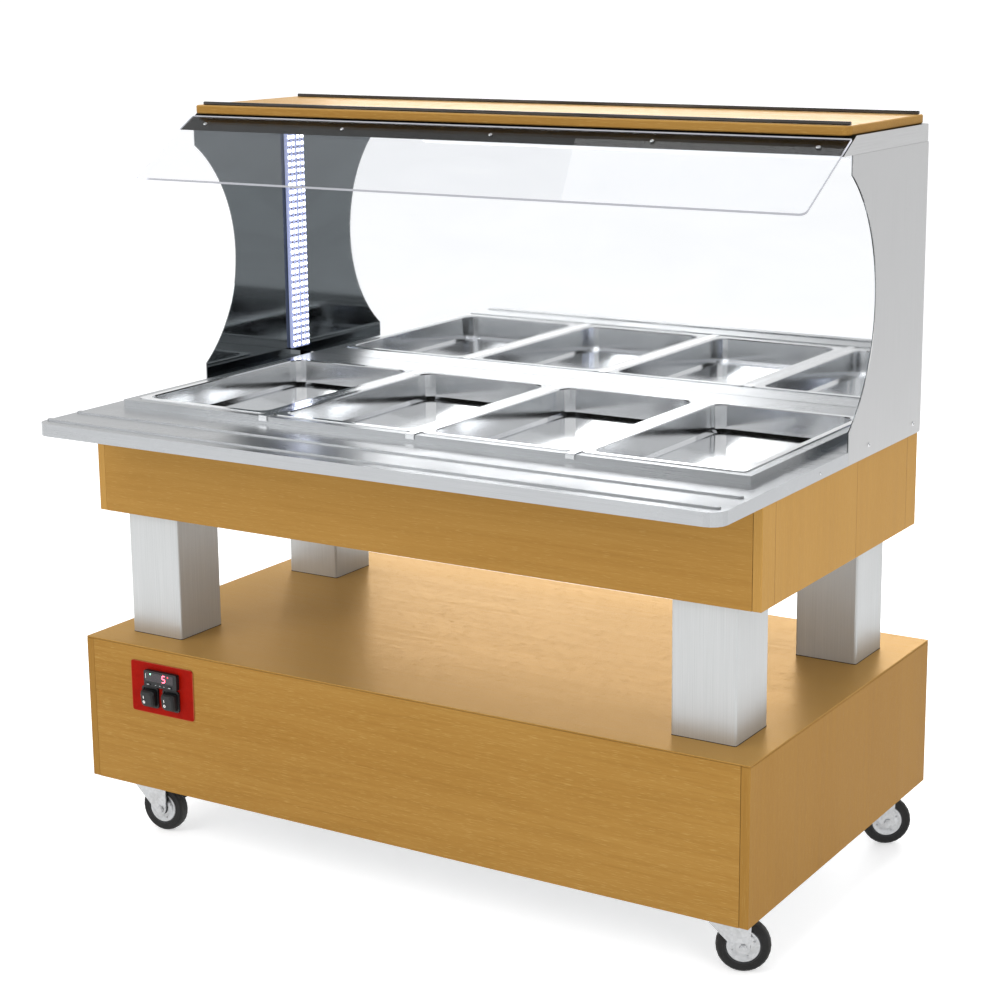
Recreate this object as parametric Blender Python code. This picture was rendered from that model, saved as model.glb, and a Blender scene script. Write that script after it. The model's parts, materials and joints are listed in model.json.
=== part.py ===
"""Wall-type refrigerated buffet trolley: wooden base on casters, four posts, chilled well and mirrored canopy.

Metres, +Z up, front towards -Y. The origin is on the ground under the middle of the whole footprint.
"""

import math

import bmesh
import bpy
from mathutils import Matrix

GAP = 0.0003
BOARD = 0.018
SHEET = 0.003

# Base box
BASE_X = 0.750
BASE_FRONT = -0.355
BASE_BACK = 0.475
BASE_BOTTOM = 0.125
BASE_TOP = 0.425
TOP_SKIN = 0.003

# Posts
POST_SIDE = 0.128
POST_WALL = 0.003
POST_X = 0.623
POST_FRONT_Y = -0.218
POST_REAR_Y = 0.314

# Wooden apron round the well
APRON_X = 0.742
APRON_FRONT = -0.304
BODY_BACK = 0.400
APRON_BOTTOM = 0.682
APRON_TOP = 0.8677

# Stainless countertop: a tray slide in front of a raised rim round the well
COUNTER_X = 0.745
COUNTER_FRONT = -0.475
COUNTER_CORNER = 0.030
COUNTER_BOTTOM = 0.868
DECK_TOP = 0.893
RIM_TOP = 0.908
RIM_LOW = (-0.700, -0.265)
RIM_HIGH = (0.700, 0.400)
RIB_LINES = (-0.440, -0.355)
RIB_ENDS = (-0.742, 0.730)
RIB_WIDTH = 0.012
RIB_HEIGHT = 0.003

# Well, gastronorm pans and the bars between them
PAN_X, PAN_Y = 0.325, 0.530
PAN_DEPTH = 0.055
PAN_PITCH = 0.345
PAN_COUNT = 4
WELL_CENTRE = (0.0, 0.020)
PAN_LEDGE = 0.010
WELL_BOTTOM = 0.704
WELL_LIP = 0.008
FLANGE = 0.0015
DRAIN = (0.450, 0.180)
DRAIN_RADIUS = 0.013

# Side supports with a hollowed front edge
SUPPORT_THICK = 0.003
SUPPORT_FRONT = 0.050
SUPPORT_FRONT_TOP = 0.040
SUPPORT_BACK = 0.404
SUPPORT_FLANGE = 0.018
SUPPORT_TOP = 1.430
HOLLOW_RADIUS = 0.289
HOLLOW_CENTRE = (-0.126, 1.158)
MIRROR_Y = 0.375

# Canopy, sneeze pane and shelf
CANOPY_BOTTOM = 1.4303
CANOPY_TOP = 1.4637
CANOPY_NOSE = -0.004
CANOPY_X = 0.745
PANE_TILT = math.radians(30.5)
PANE_START = 0.017
PANE_END = 0.2405
PANE_THICK = 0.005
PANE_X = 0.7425
PANE_CORNER = 0.012
SHELF_X = 0.738
SHELF_FRONT = 0.030
SHELF_BACK = 0.404
SHELF_BOTTOM = 1.4640
SHELF_TOP = 1.4810
SHELF_CORNER = 0.020

# Control plate on the base front
PLATE_CENTRE = (-0.552, 0.341)
PLATE_SIZE = (0.160, 0.107)
PLATE_THICK = 0.0015
PLATE_FACE = BASE_FRONT - GAP - PLATE_THICK
DISPLAY_CENTRE = (-0.549, 0.3645)
DISPLAY_BEZEL = (0.084, 0.033)
DISPLAY_BODY = (0.071, 0.029)
BEZEL_DEEP = 0.009
KEY_XS = {"left": -0.580, "right": -0.525}
KEY_Z = 0.3525
KEY_SIZE = (0.011, 0.005)
SWITCH_XS = {"left": -0.581, "right": -0.5275}
SWITCH_Z = 0.3235
SWITCH_FRAME = (0.042, 0.044)
SWITCH_DEEP = 0.0037
ROCKER_SIZE = (0.034, 0.034)
ROCKER_REST = math.radians(7)

# Condensing unit in the base
FLOOR_TOP = 0.1283
COMPRESSOR = (-0.050, 0.200)
FAN_CENTRE = (0.300, 0.235)
FAN_RADIUS = 0.082

# Casters
WHEEL_RADIUS = 0.050
CASTER_TRAIL = 0.035
AXLE_RADIUS = 0.0045
PEDAL_PIVOT = (0.044, 0.1045)
CASTERS = {
    "front_left": (-0.665, -0.275, 5, True),
    "front_right": (0.665, -0.275, 25, False),
    "rear_left": (-0.665, 0.395, 15, True),
    "rear_right": (0.665, 0.395, 35, False),
}


# ---------------------------------------------------------------- helpers

def clear_scene():
    for obj in list(bpy.data.objects):
        bpy.data.objects.remove(obj, do_unlink=True)


def material(name, colour, roughness, metallic=0.0, alpha=1.0):
    """A plain finish, shared by the pieces made of it."""
    found = bpy.data.materials.get(name)
    if found:
        return found
    made = bpy.data.materials.new(name)
    made.use_nodes = True
    shader = made.node_tree.nodes["Principled BSDF"]
    shader.inputs["Base Color"].default_value = (*colour, 1.0)
    shader.inputs["Roughness"].default_value = roughness
    shader.inputs["Metallic"].default_value = metallic
    shader.inputs["Alpha"].default_value = alpha
    made.diffuse_color = (*colour, alpha)
    return made


def wood():
    return material("oak", (0.55, 0.33, 0.12), 0.45)


def brushed():
    return material("brushed_steel", (0.62, 0.63, 0.64), 0.35, 1.0)


def polished():
    return material("polished_steel", (0.75, 0.76, 0.77), 0.08, 1.0)


def zinc():
    return material("zinc", (0.66, 0.68, 0.70), 0.45, 1.0)


def black_plastic():
    return material("black_plastic", (0.02, 0.02, 0.022), 0.4)


def mesh_object(name, mesh, finish, location=(0, 0, 0), parent=None):
    obj = bpy.data.objects.new(name, mesh)
    bpy.context.scene.collection.objects.link(obj)
    obj.location = location
    obj.parent = parent
    if finish:
        mesh.materials.append(finish)
    return obj


def finished_mesh(name, bm, smooth=False):
    bmesh.ops.recalc_face_normals(bm, faces=bm.faces)
    mesh = bpy.data.meshes.new(name)
    bm.to_mesh(mesh)
    bm.free()
    if smooth:
        mesh.shade_smooth()
        mesh.set_sharp_from_angle(angle=math.radians(35))
    return mesh


def bevel(obj, width, segments=1):
    """Rounds the edges that turn by more than 40 degrees."""
    modifier = obj.modifiers.new("Bevel", "BEVEL")
    modifier.width = width
    modifier.segments = segments
    modifier.limit_method = "ANGLE"
    modifier.angle_limit = math.radians(40)
    return obj


def hide(obj):
    obj.hide_render = True
    obj.display_type = "WIRE"
    return obj


def boolean(obj, other, operation):
    modifier = obj.modifiers.new(f"{operation.title()} {other.name}", "BOOLEAN")
    modifier.operation = operation
    modifier.object = hide(other)
    return obj


def cut(obj, *cutters):
    for cutter in cutters:
        boolean(obj, cutter, "DIFFERENCE")
    return obj


def join(obj, *others):
    for other in others:
        boolean(obj, other, "UNION")
    return obj


def box(name, low, high, finish=None, parent=None):
    """A block between two corners, with its origin in its middle."""
    centre = [(a + b) / 2 for a, b in zip(low, high)]
    size = [b - a for a, b in zip(low, high)]
    bm = bmesh.new()
    bmesh.ops.create_cube(bm, size=1.0, matrix=Matrix.Diagonal((*size, 1.0)))
    return mesh_object(name, finished_mesh(name, bm), finish, centre, parent)


def loft(name, rings, finish=None, wrap=False, smooth=True, location=(0, 0, 0), parent=None):
    """A skin through rings of points: capped at both ends, or closed on itself where wrap is set."""
    bm = bmesh.new()
    rows = [[bm.verts.new(point) for point in ring] for ring in rings]
    count = len(rows[0])
    pairs = list(zip(rows, rows[1:]))
    if wrap:
        pairs.append((rows[-1], rows[0]))
    for first, second in pairs:
        for i in range(count):
            j = (i + 1) % count
            bm.faces.new((first[i], first[j], second[j], second[i]))
    if not wrap:
        bm.faces.new(rows[0])
        bm.faces.new(rows[-1])
    return mesh_object(name, finished_mesh(name, bm, smooth), finish, location, parent)


def prism(name, outline, axis, low, high, finish=None, smooth=False, parent=None):
    """An outline pushed along an axis: (y, z) points for X, (x, z) for Y and (x, y) for Z."""
    place = {
        "X": lambda a, b, along: (along, a, b),
        "Y": lambda a, b, along: (a, along, b),
        "Z": lambda a, b, along: (a, b, along),
    }[axis]
    rings = [[place(a, b, along) for a, b in outline] for along in (low, high)]
    return loft(name, rings, finish, smooth=smooth, parent=parent)


def circle(radius, along, axis, segments=32, centre=(0.0, 0.0, 0.0)):
    """Points of a circle round an axis through centre, at a distance along it."""
    ring = []
    for i in range(segments):
        turn = 2 * math.pi * i / segments
        a, b = radius * math.cos(turn), radius * math.sin(turn)
        point = {"X": (along, a, b), "Y": (a, along, b), "Z": (a, b, along)}[axis]
        ring.append(tuple(p + c for p, c in zip(point, centre)))
    return ring


def turned(name, profile, axis, finish=None, wrap=False, segments=32, centre=(0, 0, 0), **placing):
    """A turned piece from (radius, distance along the axis) points."""
    rings = [circle(radius, along, axis, segments, centre) for radius, along in profile]
    return loft(name, rings, finish, wrap=wrap, **placing)


def rounded_rectangle(size, radius, steps=3, centre=(0.0, 0.0)):
    """Outline of a rectangle with round corners, anticlockwise."""
    half_a, half_b = size[0] / 2 - radius, size[1] / 2 - radius
    points = []
    for quarter, (a, b) in enumerate(((1, 1), (-1, 1), (-1, -1), (1, -1))):
        for i in range(steps + 1):
            turn = math.pi / 2 * (quarter + i / steps)
            points.append((
                centre[0] + a * half_a + radius * math.cos(turn),
                centre[1] + b * half_b + radius * math.sin(turn),
            ))
    return points


def tray(name, stack, centre, finish):
    """A lofted tray: each entry of stack is (length in X, length in Y, corner radius, height)."""
    rings = [
        [(x, y, height) for x, y in rounded_rectangle((size_x, size_y), radius, 3, centre)]
        for size_x, size_y, radius, height in stack
    ]
    return loft(name, rings, finish)


# ---------------------------------------------------------------- base

def base_box():
    inner_x = BASE_X - BOARD - GAP
    under_top = BASE_TOP - BOARD - GAP
    under_skin = BASE_TOP - TOP_SKIN - GAP
    skin_low = (-BASE_X, BASE_FRONT, BASE_TOP - TOP_SKIN)
    top = bevel(box("base_top", skin_low, (BASE_X, BASE_BACK, BASE_TOP), wood()), 0.0008)
    core_low = (-inner_x, BASE_FRONT + BOARD + GAP, BASE_TOP - BOARD)
    join(top, box("join_core", core_low, (inner_x, BASE_BACK - 0.001, BASE_TOP - 0.001)))
    for side, sign in (("left", -1), ("right", 1)):
        xs = sorted((sign * BASE_X, sign * (BASE_X - BOARD)))
        low = (xs[0], BASE_FRONT, BASE_BOTTOM)
        bevel(box(f"base_side_{side}", low, (xs[1], BASE_BACK, under_skin), wood()), 0.001)
    front = box(
        "base_front", (-inner_x, BASE_FRONT, BASE_BOTTOM),
        (inner_x, BASE_FRONT + BOARD, under_skin), wood(),
    )
    window = (PLATE_SIZE[0] - 0.020, PLATE_SIZE[1] - 0.021)
    cut(front, prism(
        "cut_window", rounded_rectangle(window, 0.004, 2, PLATE_CENTRE),
        "Y", BASE_FRONT - 0.01, BASE_FRONT + BOARD + 0.01,
    ))
    floor_low = (-inner_x, BASE_FRONT + BOARD + GAP, BASE_BOTTOM)
    box("base_floor", floor_low, (inner_x, BASE_BACK - SHEET - 2 * GAP, FLOOR_TOP), zinc())
    base_rear(inner_x, under_top)


def base_rear(inner_x, under_top):
    """Steel back panel with three groups of ventilation slots and the mains cable gland."""
    face = BASE_BACK - SHEET
    panel = box(
        "base_rear", (-inner_x, face, BASE_BOTTOM),
        (inner_x, BASE_BACK, under_top), brushed(),
    )
    for group, x in enumerate((-0.36, 0.02, 0.40)):
        for row in range(5):
            z = 0.180 + 0.035 * row
            cut(panel, prism(
                f"cut_slot_{group}_{row}", rounded_rectangle((0.22, 0.012), 0.0059, 2, (x, z)),
                "Y", face - 0.01, BASE_BACK + 0.01,
            ))
    gland_at = (-0.640, 0.0, 0.200)
    gland = [(0.013, BASE_BACK - 0.012), (0.013, BASE_BACK - 0.001), (0.0045, BASE_BACK - 0.001),
             (0.0045, BASE_BACK - 0.012)]
    join(panel, turned("join_gland", gland, "Y", wrap=True, segments=16, centre=gland_at))
    cut(panel, turned(
        "cut_gland", [(0.0045, face - 0.02), (0.0045, BASE_BACK + 0.01)], "Y",
        segments=16, centre=gland_at,
    ))


def posts():
    """Four square tubes that carry the well on the base."""
    outer = rounded_rectangle((POST_SIDE, POST_SIDE), 0.004, 2)
    inside = POST_SIDE - 2 * POST_WALL
    inner = rounded_rectangle((inside, inside), 0.002, 2)
    low, high = BASE_TOP + GAP, WELL_BOTTOM - GAP
    rings = [
        [(x, y, z) for x, y in ring]
        for ring, z in ((outer, low), (outer, high), (inner, high), (inner, low))
    ]
    for end, y in (("front", POST_FRONT_Y), ("rear", POST_REAR_Y)):
        for side, x in (("left", -POST_X), ("right", POST_X)):
            loft(f"post_{end}_{side}", rings, brushed(), wrap=True, location=(x, y, 0))


# ---------------------------------------------------------------- apron, countertop and well

def apron():
    inner_x = APRON_X - BOARD - GAP
    under_deck = DECK_TOP - SHEET - GAP
    for side, sign in (("left", -1), ("right", 1)):
        xs = sorted((sign * APRON_X, sign * (APRON_X - BOARD)))
        low = (xs[0], APRON_FRONT, APRON_BOTTOM)
        bevel(box(f"apron_{side}", low, (xs[1], BODY_BACK, APRON_TOP), wood()), 0.001)
    box("apron_front", (-inner_x, APRON_FRONT, APRON_BOTTOM),
        (inner_x, APRON_FRONT + BOARD, under_deck), wood())
    box("apron_rear", (-inner_x, BODY_BACK - BOARD, APRON_BOTTOM),
        (inner_x, BODY_BACK, APRON_TOP), wood())


def counter_outline(inset=0.0):
    """Plan of the countertop: round front corners, and a step in each side for the supports."""
    half = COUNTER_X - inset
    front = COUNTER_FRONT + inset
    back = BODY_BACK - inset
    step_x = COUNTER_X - SUPPORT_THICK - GAP - inset
    step_y = SUPPORT_FRONT - GAP - inset
    radius = COUNTER_CORNER - inset
    right = [(step_x, back), (step_x, step_y), (half, step_y)]
    corner = []
    steps = 4
    for i in range(steps + 1):
        turn = math.pi / 2 * i / steps
        corner.append((
            half - radius + radius * math.cos(turn),
            front + radius - radius * math.sin(turn),
        ))
    right += corner
    return right + [(-x, y) for x, y in reversed(right)]


def countertop():
    """One folded sheet: fascia all round, deck, raised rim with the well opening, and two tray ribs."""
    top = prism("countertop", counter_outline(), "Z", COUNTER_BOTTOM, DECK_TOP, brushed())
    low_x, low_y = RIM_LOW
    high_x, high_y = RIM_HIGH
    join(top, box("join_rim", (low_x, low_y, DECK_TOP - 0.010), (high_x, high_y, RIM_TOP)))
    left, right = RIB_ENDS
    for number, y in enumerate(RIB_LINES):
        middle = ((left + right) / 2, y)
        rib = rounded_rectangle((right - left, RIB_WIDTH), RIB_WIDTH / 2.01, 2, middle)
        join(top, prism(f"join_rib_{number}", rib, "Z", DECK_TOP - 0.001, DECK_TOP + RIB_HEIGHT))
    under = COUNTER_BOTTOM - 0.010
    cut(top, prism("cut_under_deck", counter_outline(SHEET), "Z", under, DECK_TOP - SHEET))
    cut(top, box(
        "cut_under_rim", (low_x + SHEET, low_y + SHEET, DECK_TOP - 0.008),
        (high_x - SHEET, high_y - SHEET, RIM_TOP - SHEET),
    ))
    half_x, half_y = well_half()
    cut(top, box(
        "cut_well_opening", (WELL_CENTRE[0] - half_x, WELL_CENTRE[1] - half_y, under),
        (WELL_CENTRE[0] + half_x, WELL_CENTRE[1] + half_y, RIM_TOP + 0.010),
    ))


def well_half():
    """Half lengths of the opening, which is smaller than the row of pans by the ledge they rest on."""
    return (
        (PAN_PITCH * (PAN_COUNT - 1) + PAN_X) / 2 - PAN_LEDGE,
        PAN_Y / 2 - PAN_LEDGE,
    )


def well():
    """Folded steel tub hung under the rim, with its drain hole, valve and lever."""
    half_x, half_y = well_half()
    top = RIM_TOP - SHEET - GAP

    def around(name, reach, low, high, finish=None):
        """A block over the well's plan, grown by reach on every side."""
        return box(
            name, (WELL_CENTRE[0] - half_x - reach, WELL_CENTRE[1] - half_y - reach, low),
            (WELL_CENTRE[0] + half_x + reach, WELL_CENTRE[1] + half_y + reach, high), finish,
        )

    tub = around("well_tub", SHEET, WELL_BOTTOM, top, polished())
    join(tub, around("join_lip", WELL_LIP, top - SHEET, top))
    cut(tub, around("cut_well", 0.0, WELL_BOTTOM + SHEET, top + 0.01))
    cut(tub, turned(
        "cut_drain", [(DRAIN_RADIUS - 0.002, WELL_BOTTOM - 0.02), (DRAIN_RADIUS - 0.002, 0.72)],
        "Z", segments=16, centre=(*DRAIN, 0.0),
    ))
    drain_valve()


def drain_valve():
    brass = material("brass", (0.70, 0.52, 0.24), 0.35, 1.0)
    radius = DRAIN_RADIUS
    inside = radius - 0.003
    top = WELL_BOTTOM - GAP
    profile = [
        (inside, top), (radius, top), (radius, 0.680), (0.020, 0.674), (0.020, 0.648),
        (radius, 0.642), (radius, 0.622), (inside, 0.622),
    ]
    valve = turned("drain_valve", profile, "Z", brass, wrap=True, segments=20, centre=(*DRAIN, 0.0))
    stem_at = (DRAIN[0], DRAIN[1], 0.661)
    join(valve, turned(
        "join_stem", [(0.004, -0.034), (0.004, -0.012)], "Y", segments=12, centre=stem_at,
    ))
    red = material("red_plastic", (0.55, 0.03, 0.02), 0.4)
    handle = turned(
        "drain_handle", [(0.0043, -0.0315), (0.009, -0.0315), (0.009, -0.0205), (0.0043, -0.0205)],
        "Y", red, wrap=True, segments=16, location=stem_at,
    )
    lever = box("join_lever", (0.0070, -0.0300, -0.0060), (0.062, -0.0240, 0.0060), parent=handle)
    join(handle, bevel(lever, 0.002))


def pan_centres():
    first = WELL_CENTRE[0] - PAN_PITCH * (PAN_COUNT - 1) / 2
    return [first + PAN_PITCH * i for i in range(PAN_COUNT)]


def pans():
    """Shallow gastronorm pans hung by their flanges over the well."""
    low = RIM_TOP + GAP
    top = low + FLANGE
    skin = 2 * 0.0015
    inner = (PAN_X - 0.027, PAN_Y - 0.027)
    floor = low - PAN_DEPTH
    for number, x in enumerate(pan_centres(), 1):
        stack = [
            (inner[0] - 0.020, inner[1] - 0.020, 0.016, floor + 0.0015),
            (inner[0] - 0.006, inner[1] - 0.006, 0.022, floor + 0.008),
            (inner[0], inner[1], 0.024, top - 0.002),
            (inner[0] + 0.003, inner[1] + 0.003, 0.025, top),
            (PAN_X, PAN_Y, 0.010, top),
            (PAN_X, PAN_Y, 0.010, low),
            (inner[0] + skin, inner[1] + skin, 0.025, low),
            (inner[0] - 0.006 + skin, inner[1] - 0.006 + skin, 0.023, floor + 0.006),
            (inner[0] - 0.018, inner[1] - 0.018, 0.016, floor),
        ]
        tray(f"pan_{number}", stack, (x, WELL_CENTRE[1]), polished())


def divider_bars():
    """Bars that bridge the well between the pans: a flat top over a narrow web, hooked over the rim."""
    low = RIM_TOP + GAP
    centre_y = WELL_CENTRE[1]
    _, half_y = well_half()
    for number, x in enumerate(pan_centres()[:-1], 1):
        middle = x + PAN_PITCH / 2
        top = box(
            f"divider_{number}", (middle - 0.0096, centre_y - PAN_Y / 2, low),
            (middle + 0.0096, centre_y + PAN_Y / 2, low + FLANGE), brushed(),
        )
        lip = RIM_LOW[1] - GAP
        join(top, box(
            f"join_reach_{number}", (middle - 0.0096, lip - FLANGE, low),
            (middle + 0.0096, centre_y - PAN_Y / 2 + 0.001, low + FLANGE),
        ))
        join(top, box(
            f"join_hook_{number}", (middle - 0.0096, lip - FLANGE, low - 0.009),
            (middle + 0.0096, lip, low + FLANGE / 2),
        ))
        web_end = half_y - 0.0005
        join(top, box(
            f"join_web_{number}", (middle - 0.004, centre_y - web_end, low - 0.016),
            (middle + 0.004, centre_y + web_end, low + 0.0005),
        ))


# ---------------------------------------------------------------- supports, canopy and shelf

def support_outline():
    """Side view (y, z) of a support: straight back, and a front hollowed by one arc."""
    centre_y, centre_z = HOLLOW_CENTRE
    start = math.acos((SUPPORT_FRONT_TOP - centre_y) / HOLLOW_RADIUS)
    end = -math.acos((SUPPORT_FRONT - centre_y) / HOLLOW_RADIUS)
    steps = 36
    arc = []
    for i in range(steps + 1):
        turn = start + (end - start) * i / steps
        arc.append((
            centre_y + HOLLOW_RADIUS * math.cos(turn),
            centre_z + HOLLOW_RADIUS * math.sin(turn),
        ))
    return [
        (SUPPORT_BACK, COUNTER_BOTTOM), (SUPPORT_BACK, SUPPORT_TOP),
        (SUPPORT_FRONT_TOP, SUPPORT_TOP), *arc, (SUPPORT_FRONT, COUNTER_BOTTOM),
    ]


def supports():
    """Thin side sheets, each folded in behind the back panel to stiffen it."""
    for side, sign in (("left", -1), ("right", 1)):
        outer = sorted((sign * COUNTER_X, sign * (COUNTER_X - SUPPORT_THICK)))
        sheet = prism(f"support_{side}", support_outline(), "X", *outer, brushed())
        folded = sorted((sign * (COUNTER_X - 0.001), sign * (COUNTER_X - SUPPORT_FLANGE)))
        join(sheet, box(
            f"join_flange_{side}", (folded[0], SUPPORT_BACK - SUPPORT_THICK, COUNTER_BOTTOM),
            (folded[1], SUPPORT_BACK, SUPPORT_TOP),
        ))


def back_panel():
    """Mirror-polished back between the supports: a folded case standing on the rim, open at the top."""
    inner_x = COUNTER_X - SUPPORT_THICK - GAP
    low = RIM_TOP + GAP
    case = box("back_panel", (-inner_x, MIRROR_Y, low), (inner_x, BODY_BACK, SUPPORT_TOP), polished())
    cut(case, box(
        "cut_case", (-inner_x + SHEET, MIRROR_Y + SHEET, low + SHEET),
        (inner_x - SHEET, BODY_BACK - SHEET, SUPPORT_TOP + 0.01),
    ))


def led_profiles():
    """Light strips in the rear inner corner of each support."""
    lens = material("led_lens", (0.92, 0.94, 1.0), 0.3)
    inner_x = COUNTER_X - SUPPORT_THICK - GAP
    for side, sign in (("left", -1), ("right", 1)):
        xs = sorted((sign * inner_x, sign * (inner_x - 0.009)))
        low = (xs[0], MIRROR_Y - 0.032, RIM_TOP + 0.010)
        bevel(box(f"led_strip_{side}", low, (xs[1], MIRROR_Y - GAP, SUPPORT_TOP - 0.004), lens), 0.002)


def canopy():
    """Folded cap under the shelf, open at the back, with a sloping nose that carries the pane."""
    rise = CANOPY_TOP - CANOPY_BOTTOM
    run = rise / math.tan(PANE_TILT)
    outline = [
        (CANOPY_NOSE, CANOPY_BOTTOM), (CANOPY_NOSE + run, CANOPY_TOP),
        (BODY_BACK, CANOPY_TOP), (BODY_BACK, CANOPY_BOTTOM),
    ]
    dark = material("dark_steel", (0.16, 0.16, 0.17), 0.22, 1.0)
    cap = prism("canopy", outline, "X", -CANOPY_X, CANOPY_X, dark)
    inner_rise = rise - 2 * SHEET
    slope = inner_rise / math.tan(PANE_TILT)
    start = CANOPY_NOSE + 3.6 * SHEET
    hollow = [
        (start, CANOPY_BOTTOM + SHEET), (start + slope, CANOPY_TOP - SHEET),
        (BODY_BACK + 0.01, CANOPY_TOP - SHEET), (BODY_BACK + 0.01, CANOPY_BOTTOM + SHEET),
    ]
    cut(cap, prism("cut_canopy", hollow, "X", -CANOPY_X + SHEET, CANOPY_X - SHEET))


def pane_outline():
    """Plan of the pane in its own plane: square at the top, and round at its two lower corners."""
    points = [(PANE_X, PANE_START)]
    steps = 4
    for i in range(steps + 1):
        turn = math.pi / 2 * i / steps
        points.append((
            PANE_X - PANE_CORNER + PANE_CORNER * math.cos(turn),
            PANE_END - PANE_CORNER + PANE_CORNER * math.sin(turn),
        ))
    return points + [(-x, reach) for x, reach in reversed(points)]


def pane():
    """Clear sheet lying on the canopy's sloping nose and reaching forward over the pans."""
    clear = material("clear_acrylic", (0.9, 0.95, 0.95), 0.03, 0.0, 0.25)
    run = (CANOPY_TOP - CANOPY_BOTTOM) / math.tan(PANE_TILT)
    top = (CANOPY_NOSE + run, CANOPY_TOP)
    along = (-math.cos(PANE_TILT), -math.sin(PANE_TILT))
    out = (-math.sin(PANE_TILT), math.cos(PANE_TILT))
    rings = []
    for lift in (GAP, GAP + PANE_THICK):
        ring = []
        for x, reach in pane_outline():
            ring.append((
                x,
                top[0] + along[0] * reach + out[0] * lift,
                top[1] + along[1] * reach + out[1] * lift,
            ))
        rings.append(ring)
    loft("pane", rings, clear, smooth=False)


def shelf():
    """Wooden shelf with two low rails."""
    size = (2 * SHELF_X, SHELF_BACK - SHELF_FRONT)
    middle = (0.0, (SHELF_BACK + SHELF_FRONT) / 2)
    ease = 0.002
    rings = []
    for inset, z in ((ease, SHELF_BOTTOM), (0.0, SHELF_BOTTOM + ease),
                     (0.0, SHELF_TOP - ease), (ease, SHELF_TOP)):
        outline = rounded_rectangle(
            (size[0] - 2 * inset, size[1] - 2 * inset), SHELF_CORNER - inset, 4, middle,
        )
        rings.append([(x, y, z) for x, y in outline])
    loft("shelf", rings, wood())
    rail = material("dark_rail", (0.05, 0.045, 0.04), 0.35, 0.6)
    for end, y in (("front", SHELF_FRONT + 0.022), ("rear", SHELF_BACK - 0.026)):
        low = (-SHELF_X + 0.014, y - 0.004, SHELF_TOP + GAP)
        bevel(box(f"shelf_rail_{end}", low, (SHELF_X - 0.004, y + 0.004, SHELF_TOP + 0.007), rail), 0.0015)


# ---------------------------------------------------------------- controls

def control_plate():
    red = material("red_plate", (0.45, 0.02, 0.015), 0.35)
    plate = prism("control_plate", rounded_rectangle(PLATE_SIZE, 0.007, 3, PLATE_CENTRE),
                  "Y", PLATE_FACE, PLATE_FACE + PLATE_THICK, red)
    clearance = 2 * GAP
    holes = [("display", DISPLAY_CENTRE, DISPLAY_BODY)]
    holes += [(f"switch_{side}", (x, SWITCH_Z), (0.022, 0.026)) for side, x in SWITCH_XS.items()]
    for name, centre, size in holes:
        outline = rounded_rectangle((size[0] + clearance, size[1] + clearance), 0.001, 1, centre)
        cut(plate, prism(f"cut_{name}", outline, "Y", PLATE_FACE - 0.01, PLATE_FACE + 0.01))


def thermostat():
    """Digital controller: bezel on the plate, body behind it, and two sprung keys."""
    back = PLATE_FACE - GAP
    face = back - BEZEL_DEEP
    unit = prism("thermostat", rounded_rectangle(DISPLAY_BEZEL, 0.003, 2, DISPLAY_CENTRE),
                 "Y", face, back, black_plastic())
    join(unit, prism("join_body", rounded_rectangle(DISPLAY_BODY, 0.0008, 1, DISPLAY_CENTRE),
                     "Y", back - 0.002, back + 0.055))
    for side, x in KEY_XS.items():
        pocket = (KEY_SIZE[0] + 2 * GAP, KEY_SIZE[1] + 2 * GAP)
        outline = rounded_rectangle(pocket, 0.001, 1, (x, KEY_Z))
        cut(unit, prism(f"cut_key_{side}", outline, "Y", face - 0.01, face + 0.004))
        key = rounded_rectangle(KEY_SIZE, 0.001, 1, (x, KEY_Z))
        prism(f"thermostat_key_{side}", key, "Y", face - 0.0012, face + 0.0025, black_plastic())


def switches():
    """Rocker switches: a fixed frame with its body, and a booted rocker that tips in it."""
    boot = material("boot_rubber", (0.015, 0.017, 0.017), 0.55)
    back = PLATE_FACE - GAP
    face = back - SWITCH_DEEP
    opening = (ROCKER_SIZE[0] + 0.0012, ROCKER_SIZE[1] + 0.0030)
    for side, x in SWITCH_XS.items():
        centre = (x, SWITCH_Z)
        frame = prism(f"switch_frame_{side}", rounded_rectangle(SWITCH_FRAME, 0.005, 3, centre),
                      "Y", face, back, black_plastic())
        cut(frame, prism(f"cut_rocker_{side}", rounded_rectangle(opening, 0.003, 2, centre),
                         "Y", face - 0.01, back - 0.0008))
        join(frame, prism(f"join_switch_{side}", rounded_rectangle((0.022, 0.026), 0.001, 1, centre),
                          "Y", back - 0.0008, back + 0.030))
        rocker(side, centre, back, boot)


def rocker(side, centre, back, finish):
    """A boot whose face falls away on both sides of the tipping axis, resting tipped one way."""
    stack = [
        (0.0, -0.0034, 0.0030), (0.0, -0.0110, 0.0050), (0.004, -0.0150, 0.0060),
        (0.010, -0.0170, 0.0060),
    ]
    rings = []
    for inset, y, radius in stack:
        outline = rounded_rectangle((ROCKER_SIZE[0] - inset, ROCKER_SIZE[1] - inset), radius, 2)
        rings.append([(x, y, z) for x, z in outline])
    made = loft(f"rocker_{side}", rings, finish, location=(centre[0], back, centre[1]))
    made.rotation_euler.x = ROCKER_REST


# ---------------------------------------------------------------- condensing unit

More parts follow.
